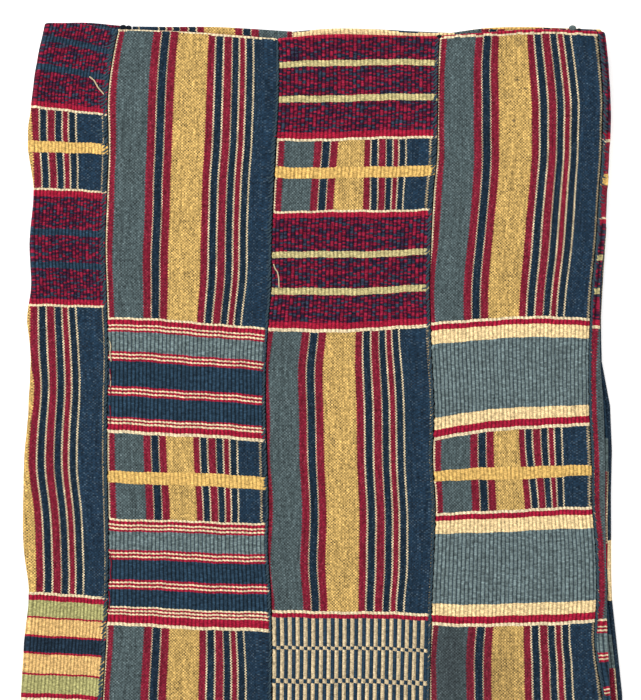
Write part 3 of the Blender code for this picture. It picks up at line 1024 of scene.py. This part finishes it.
def build_strip(strip):
    front = strip in FRONT_STRIPS
    shares = column_shares(strip)

    def spacing_at(weave):
        if front and -3 < weave < 430:
            return 2.3
        return 12.0 if weave > -3 else 30.0

    weaves = weave_rows(strip, shares, spacing_at)
    rows, columns = weaves.shape
    share_grid = np.broadcast_to(shares, weaves.shape)
    bands, yarns = band_numbers(strip, share_grid, weaves)
    is_ribbed = np.array([yarn != "striped" for yarn in yarns], float)
    ribbed = is_ribbed[bands]
    lift = strip_relief(strip, share_grid, weaves, ribbed) if front else 0.0
    points = cloth_point(strip, share_grid, weaves, lift)
    if front:
        points[..., 0] += scallops(strip, share_grid, weaves, ribbed) * MM

    index = np.arange(rows * columns).reshape(rows, columns)
    corners = np.stack(
        [index[:-1, :-1], index[1:, :-1], index[1:, 1:], index[:-1, 1:]], axis=-1
    ).reshape(-1, 4)
    mesh = bpy.data.meshes.new(f"woven_strip_{strip:02d}")
    mesh.from_pydata(points.reshape(-1, 3), [], corners)
    middle = (weaves[:-1, :-1] + weaves[1:, 1:]) / 2
    middle_share = (share_grid[:-1, :-1] + share_grid[1:, 1:]) / 2
    numbers, yarns = band_numbers(strip, middle_share, middle)
    names = sorted(set(yarns))
    slot_of = np.array([names.index(yarn) for yarn in yarns])
    for name in names:
        mesh.materials.append(MATERIALS[name])
    mesh.polygons.foreach_set("material_index", slot_of[numbers].reshape(-1).astype(np.int32))
    mesh.polygons.foreach_set("use_smooth", np.ones(len(corners), bool))
    layer = mesh.uv_layers.new(name="weave")
    is_block = np.repeat(is_ribbed[numbers].reshape(-1), 4) > 0
    evenly = share_grid * STRIP_WIDTH * RIB_CLOSENESS.get(strip, 1.0)
    across = np.where(
        is_block, evenly.reshape(-1)[corners.reshape(-1)],
        across_weave(strip, share_grid, weaves).reshape(-1)[corners.reshape(-1)],
    )
    along_warp = (weaves + WEAVE_STEP * strip).reshape(-1)[corners.reshape(-1)]
    places = np.stack([across, along_warp], axis=-1)
    layer.data.foreach_set("uv", places.reshape(-1).astype(np.float32))
    mesh.update()
    thing = bpy.data.objects.new(f"woven_strip_{strip:02d}", mesh)
    bpy.context.collection.objects.link(thing)
    thick = thing.modifiers.new("thickness", "SOLIDIFY")
    thick.thickness = SHEET * MM
    thick.offset = 0.0
    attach(thing, "root")
    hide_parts(f"strip_{strip:02d}")
    return thing


strips = [build_strip(number) for number in range(1, 14)]


# The sewing. The strips are joined by hand with dark thread that goes over both selvages,
# stitch after stitch, and draws them together into a corded seam.
STITCH_STEP = 2.3  # mm from one stitch to the next
STITCH_COLUMNS = ("share_of_cord", "lift", "down", "radius")
STITCH_PATH = (
    (1.10, -0.35, 1.7, 0.45),
    (0.92, 0.30, 1.3, 0.55),
    (0.70, 0.70, 0.6, 0.62),
    (0.46, 0.72, -0.3, 0.62),
    (0.24, 0.35, -1.1, 0.55),
    (0.10, -0.40, -1.7, 0.45),
)
BITE = 0.9  # the most by which a stitch reaches further into the cloth than the cord
# How wide the cord is, in mm at distances down, beside each seam. A cord on the right of
# its seam has a width below nothing.
CORDS = {
    "sewing_7_8": ((0, 2.6), (50, 3.3), (160, 2.8), (178, 1.5), (350, 1.6), (385, 2.7), (905, 2.4)),
    "sewing_8_9": ((0, 0.9), (60, 1.2), (75, 2.4), (180, 1.4), (195, 1.2), (260, 2.2), (310, 1.5)),
    "sewing_9_10": ((0, 2.6), (70, 3.0), (185, 2.4), (200, 1.4), (300, 2.4), (330, 1.6)),
    "sewing_10_11": ((0, -1.6), (30, -2.2), (110, -1.6), (180, -1.2), (905, -1.2)),
}
# The near-black thread in the groove is a painted shadow of the gap between the strips
SEAM_SHADOW_LINE = (-0.45, -0.1)  # from the seam and lift of the run in the groove
SEAM_SHADOW_RADII = {"sewing_7_8": 0.5, "sewing_8_9": 0.72, "sewing_9_10": 0.5, "sewing_10_11": 0.62}
TUBE_SIDES = 6


def thread_material(name, colour):
    """Spun cotton thread, its twist seen as slanted lines of painted shade."""
    material, tree, spot, across, down = start_material(name)
    twist = node(tree, VECTOR, (spot, (6.0, 9.0, 0.0)), 1, operation="DOT_PRODUCT")
    twist = node(tree, MATH, (twist,), operation="SINE")
    # painted shade in the grooves of the twist
    shade = node(tree, MATH, (twist, 0.14, 0.9), operation="MULTIPLY_ADD")
    made = node(tree, VECTOR, (linear(colour)[:3], shade), operation="MULTIPLY")
    finish_material(tree, made, twist, 0.08)
    return material


SEWING = thread_material("dyed_sewing_thread", "sewing")
# a near-black thread that is a painted shadow in the seam's groove
SEAM_SHADOW_THREAD = thread_material("painted_seam_shadow_thread", "seam_shadow_black")
# dark thread for the knots, and a core under the stitches that is painted shade between them
DARK_THREAD_AND_CORD_SHADE = thread_material("knot_thread_and_painted_cord_shade", "knot_and_cord_shade_navy")
CREAM_THREAD = thread_material("undyed_cotton_thread", "cream")
RED_THREAD = thread_material("crimson_cotton_thread", "crimson_warp")
GREY_THREAD = thread_material("grey_blue_cotton_thread", "grey_blue")


def tube(path, radius, points, faces, places):
    """Adds a round tube along a path of vectors to the lists of a mesh."""
    begin = len(points)
    for number, point in enumerate(path):
        ahead = path[min(number + 1, len(path) - 1)] - path[max(number - 1, 0)]
        ahead.normalize()
        side = ahead.cross(Vector((0, 0, 1)))
        side = side.normalized() if side.length > 1e-6 else Vector((1, 0, 0))
        top = side.cross(ahead)
        reach = radius[number] if hasattr(radius, "__len__") else radius
        for turn in range(TUBE_SIDES):
            angle = 2 * math.pi * turn / TUBE_SIDES
            points.append(point + side * math.cos(angle) * reach + top * math.sin(angle) * reach)
            places.append((number * 1.1, turn * 0.4))
    for number in range(len(path) - 1):
        for turn in range(TUBE_SIDES):
            one = begin + number * TUBE_SIDES + turn
            two = begin + number * TUBE_SIDES + (turn + 1) % TUBE_SIDES
            faces.append((one, two, two + TUBE_SIDES, one + TUBE_SIDES))
    for end in (begin, begin + (len(path) - 1) * TUBE_SIDES):
        ring = list(range(end, end + TUBE_SIDES))
        faces.append(ring[::-1] if end == begin else ring)


def add_thread_piece(name, points, faces, places, material):
    mesh = bpy.data.meshes.new(name)
    mesh.from_pydata(points, [], faces)
    mesh.materials.append(material)
    layer = mesh.uv_layers.new(name="weave")
    for loop in mesh.loops:
        layer.data[loop.index].uv = places[loop.vertex_index]
    mesh.polygons.foreach_set("use_smooth", np.ones(len(faces), bool))
    mesh.update()
    thing = bpy.data.objects.new(name, mesh)
    bpy.context.collection.objects.link(thing)
    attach(thing, "root")
    return thing


def beside_seam(left_strip, from_seam, weave, lift):
    """A place at a distance from a seam: below nothing on its left, and else on its right."""
    left = cloth_point(left_strip, 1 + np.minimum(from_seam, 0) / STRIP_WIDTH, weave, lift)
    right = cloth_point(left_strip + 1, np.maximum(from_seam, 0) / STRIP_WIDTH, weave, lift)
    return np.where((from_seam < 0)[..., None], left, right)


def vectors(row):
    return [Vector(point) for point in row]


def sew_seam(left_strip, name, begin, end, seed):
    """Stitches over a strip's edge on a dark core of painted shade, and a painted shadow in the groove.
    """
    random = np.random.default_rng(seed)
    path = np.array(STITCH_PATH)
    downs = np.arange(begin, end, STITCH_STEP)
    downs = downs + random.uniform(-0.35, 0.35, len(downs))
    cord = np.interp(downs, *np.array(CORDS[name]).T) * random.uniform(0.8, 1.3, len(downs))
    long_bites = 1 + BITE * random.random(len(downs)) ** 3
    bite = np.where(path[None, :, 0] > 0.9, long_bites[:, None], 1.0)
    from_seam = -cord[:, None] * path[None, :, 0] * bite - 0.5
    weave = downs[:, None] + random.uniform(0.8, 1.25, len(downs))[:, None] * path[None, :, 2]
    lift = np.broadcast_to(path[None, :, 1], weave.shape)
    stitches = beside_seam(left_strip, from_seam, weave, lift)
    points, faces, places = [], [], []
    for stitch, scale in zip(stitches, random.uniform(0.85, 1.12, len(downs))):
        tube(vectors(stitch), path[:, 3] * scale * MM, points, faces, places)
    add_thread_piece(name, points, faces, places, SEWING)

    downs = np.arange(begin, end, 3.0)
    cord = np.interp(downs, *np.array(CORDS[name]).T)
    # a dark core under the stitches: painted shade in the gaps between them
    core = beside_seam(left_strip, -cord * 0.55 - 0.5, downs, np.full_like(downs, -0.2))
    points, faces, places = [], [], []
    tube(vectors(core), np.abs(cord) * 0.33 * MM, points, faces, places)
    add_thread_piece(f"{name}_core", points, faces, places, DARK_THREAD_AND_CORD_SHADE)

    # a near-black thread along the groove: painted shadow of the gap between the strips
    from_seam, lift = SEAM_SHADOW_LINE
    stray = 0.12 * np.sin(downs * 0.9 + seed)
    run = beside_seam(left_strip, from_seam + stray, downs, np.full_like(downs, lift))
    points, faces, places = [], [], []
    tube(vectors(run), SEAM_SHADOW_RADII[name] * MM, points, faces, places)
    add_thread_piece(f"{name}_painted_seam_shadow", points, faces, places, SEAM_SHADOW_THREAD)


sew_seam(7, "sewing_7_8", 7.0, 903.0, 1)
sew_seam(8, "sewing_8_9", 14.0, 903.0, 2)
sew_seam(9, "sewing_9_10", 12.0, 903.0, 3)
sew_seam(10, "sewing_10_11", 9.0, 903.0, 4)


# Loose threads. They are broken weft and sewing ends that stick out of the seams and lie on
# the front panel; each is listed by its course across and down.
LOOSE_THREADS = (
    ("cream_end", "cream", 0.42, ((-146, 34), (-143, 36.5), (-140.5, 41), (-136.8, 45.3))),
    ("pale_end_at_seam_7_8", "pale", 0.30,
     ((-139.6, 198.6), (-137.5, 201), (-135.2, 201.6), (-132.6, 199.6), (-132.4, 196.4))),
    ("red_end_at_seam_8_9", "red", 0.34, ((-30.2, 72.0), (-27, 71.4), (-23.6, 70.8))),
    ("cream_end_at_strip_9", "cream", 0.40,
     ((-30.6, 151.6), (-29.6, 154.6), (-28.2, 156.4), (-27.4, 160), (-27.2, 166.4))),
)
# Where a weft colour rests, its yarn is carried up the side of the block to its next line
CARRIED = (
    ("carried_weft_1", "cream", 0.36, ((-133.2, 199.5), (-132.4, 203), (-133.0, 207.5), (-132.2, 212.5))),
    ("carried_weft_2", "red", 0.36, ((-133.0, 217), (-132.4, 222), (-132.9, 227), (-132.3, 233))),
    ("carried_weft_3", "cream", 0.34, ((-132.9, 220.5), (-132.5, 225), (-132.8, 229.5))),
    ("carried_weft_4", "red", 0.36, ((-133.1, 240), (-132.5, 245), (-133.0, 251))),
    ("carried_weft_5", "red", 0.38, ((-132.8, 333), (-132.0, 339), (-132.7, 345), (-132.1, 350))),
    ("carried_weft_6", "red", 0.38, ((-133.6, 356), (-133.0, 362), (-133.8, 369))),
)
THREAD_YARNS = {"cream": CREAM_THREAD, "red": RED_THREAD, "pale": GREY_THREAD, "core": DARK_THREAD_AND_CORD_SHADE}
# Where each seam's thread is fastened at the top fold: a wound knot, and its place and size
KNOTS = (
    ("knot_at_top_7", "core", -124.6, 3.6, 2.6),
    ("knot_at_top_13", "core", -121.2, 3.9, 2.4),
    ("knot_at_top_8_9", "core", -28.4, 12.4, 1.3),
    ("knot_at_top_9_10", "core", 73.2, 9.8, 2.6),
    ("knot_at_top_10", "core", 171.6, 7.2, 2.0),
    ("tuft_at_top_3", "pale", 156.4, 4.0, 2.8),
    ("tuft_beside_it", "core", 160.5, 5.4, 2.0),
)


def lay_loose_thread(name, yarn, radius, course):
    course = np.array(course)
    steps = np.linspace(0, len(course) - 1, 4 * len(course))
    across = np.interp(steps, np.arange(len(course)), course[:, 0])
    down = np.interp(steps, np.arange(len(course)), course[:, 1])
    height = level_height("front", across, down) + PLY_REACH + 0.75 + radius
    path = [
        Vector(((x - BASE_MIDDLE[0]) * MM, (-y - BASE_MIDDLE[1]) * MM, z * MM))
        for x, y, z in zip(across, down, height)
    ]
    points, faces, places = [], [], []
    tube(path, radius * MM, points, faces, places)
    return add_thread_piece(name, points, faces, places, THREAD_YARNS[yarn])


def tie_knot(name, yarn, across, down, size):
    """Sewing thread wound round the top of a seam where it ends."""
    points, faces, places = [], [], []
    middle = Vector((
        (across - BASE_MIDDLE[0]) * MM,
        (-down - BASE_MIDDLE[1]) * MM,
        level_height("front", across, down) * MM,
    ))
    for turn in range(4):
        lean = turn * 0.9
        ring = []
        for step in range(13):
            angle = 2 * math.pi * step / 12 + turn
            flat = math.sin(angle)
            spot = Vector((math.cos(angle), 0.7 * flat * math.cos(lean), 0.7 * flat * math.sin(lean)))
            ring.append(middle + spot * (size * 0.6 * MM))
        tube(ring, size * 0.26 * MM, points, faces, places)
    return add_thread_piece(name, points, faces, places, THREAD_YARNS[yarn])


for row in LOOSE_THREADS + CARRIED:
    lay_loose_thread(*row)
for row in KNOTS:
    tie_knot(*row)


# The floor, light and camera. The photo looks straight down on the cloth on white, in even
# light. The frame covers 641 by 700 pixels at 0.625 mm each, level with the front panel.
PIXEL = 0.625
PHOTO_SIZE = (641, 700)
PHOTO_MIDDLE = ((320.5 - 322.5) * PIXEL, -(350.0 - 21.5) * PIXEL)
CAMERA_HEIGHT = 2.2
FRONT_HEIGHT = 0.0145


def lay_floor():
    mesh = bpy.data.meshes.new("floor")
    reach = 3.0
    mesh.from_pydata(
        [(-reach, -reach, 0), (reach, -reach, 0), (reach, reach, 0), (-reach, reach, 0)],
        [], [(0, 1, 2, 3)],
    )
    floor = bpy.data.objects.new("floor", mesh)
    floor.location.z = -0.0005
    bpy.context.collection.objects.link(floor)
    material = bpy.data.materials.new("white_paper")
    material.use_nodes = True
    shader = material.node_tree.nodes["Principled BSDF"]
    shader.inputs["Base Color"].default_value = (0.93, 0.93, 0.93, 1.0)
    shader.inputs["Roughness"].default_value = 0.9
    shader.inputs["Emission Color"].default_value = (1, 1, 1, 1)
    shader.inputs["Emission Strength"].default_value = 0.45
    mesh.materials.append(material)


def add_light(name, place, size, power):
    lamp = bpy.data.lights.new(name, "AREA")
    lamp.size = size
    lamp.energy = power
    thing = bpy.data.objects.new(name, lamp)
    thing.location = place
    aim = Vector((0, 0.2, 0)) - Vector(place)
    thing.rotation_euler = aim.to_track_quat("-Z", "Y").to_euler()
    bpy.context.collection.objects.link(thing)


def set_world(strength):
    world = bpy.data.worlds.new("studio")
    bpy.context.scene.world = world
    world.use_nodes = True
    background = world.node_tree.nodes["Background"]
    background.inputs[0].default_value = (1, 1, 1, 1)
    background.inputs[1].default_value = strength


def place_camera():
    data = bpy.data.cameras.new("camera")
    camera = bpy.data.objects.new("camera", data)
    bpy.context.collection.objects.link(camera)
    camera.location = (
        (PHOTO_MIDDLE[0] - BASE_MIDDLE[0]) * MM,
        (PHOTO_MIDDLE[1] - BASE_MIDDLE[1]) * MM,
        FRONT_HEIGHT + CAMERA_HEIGHT,
    )
    tall = PHOTO_SIZE[1] * PIXEL * MM
    data.sensor_width = 36.0
    data.lens = data.sensor_width * CAMERA_HEIGHT / tall
    bpy.context.scene.camera = camera


lay_floor()
set_world(0.85)
add_light("key_light", (-0.9, 1.3, 1.6), 1.2, 22.0)
place_camera()
bpy.context.scene.view_settings.view_transform = "Standard"
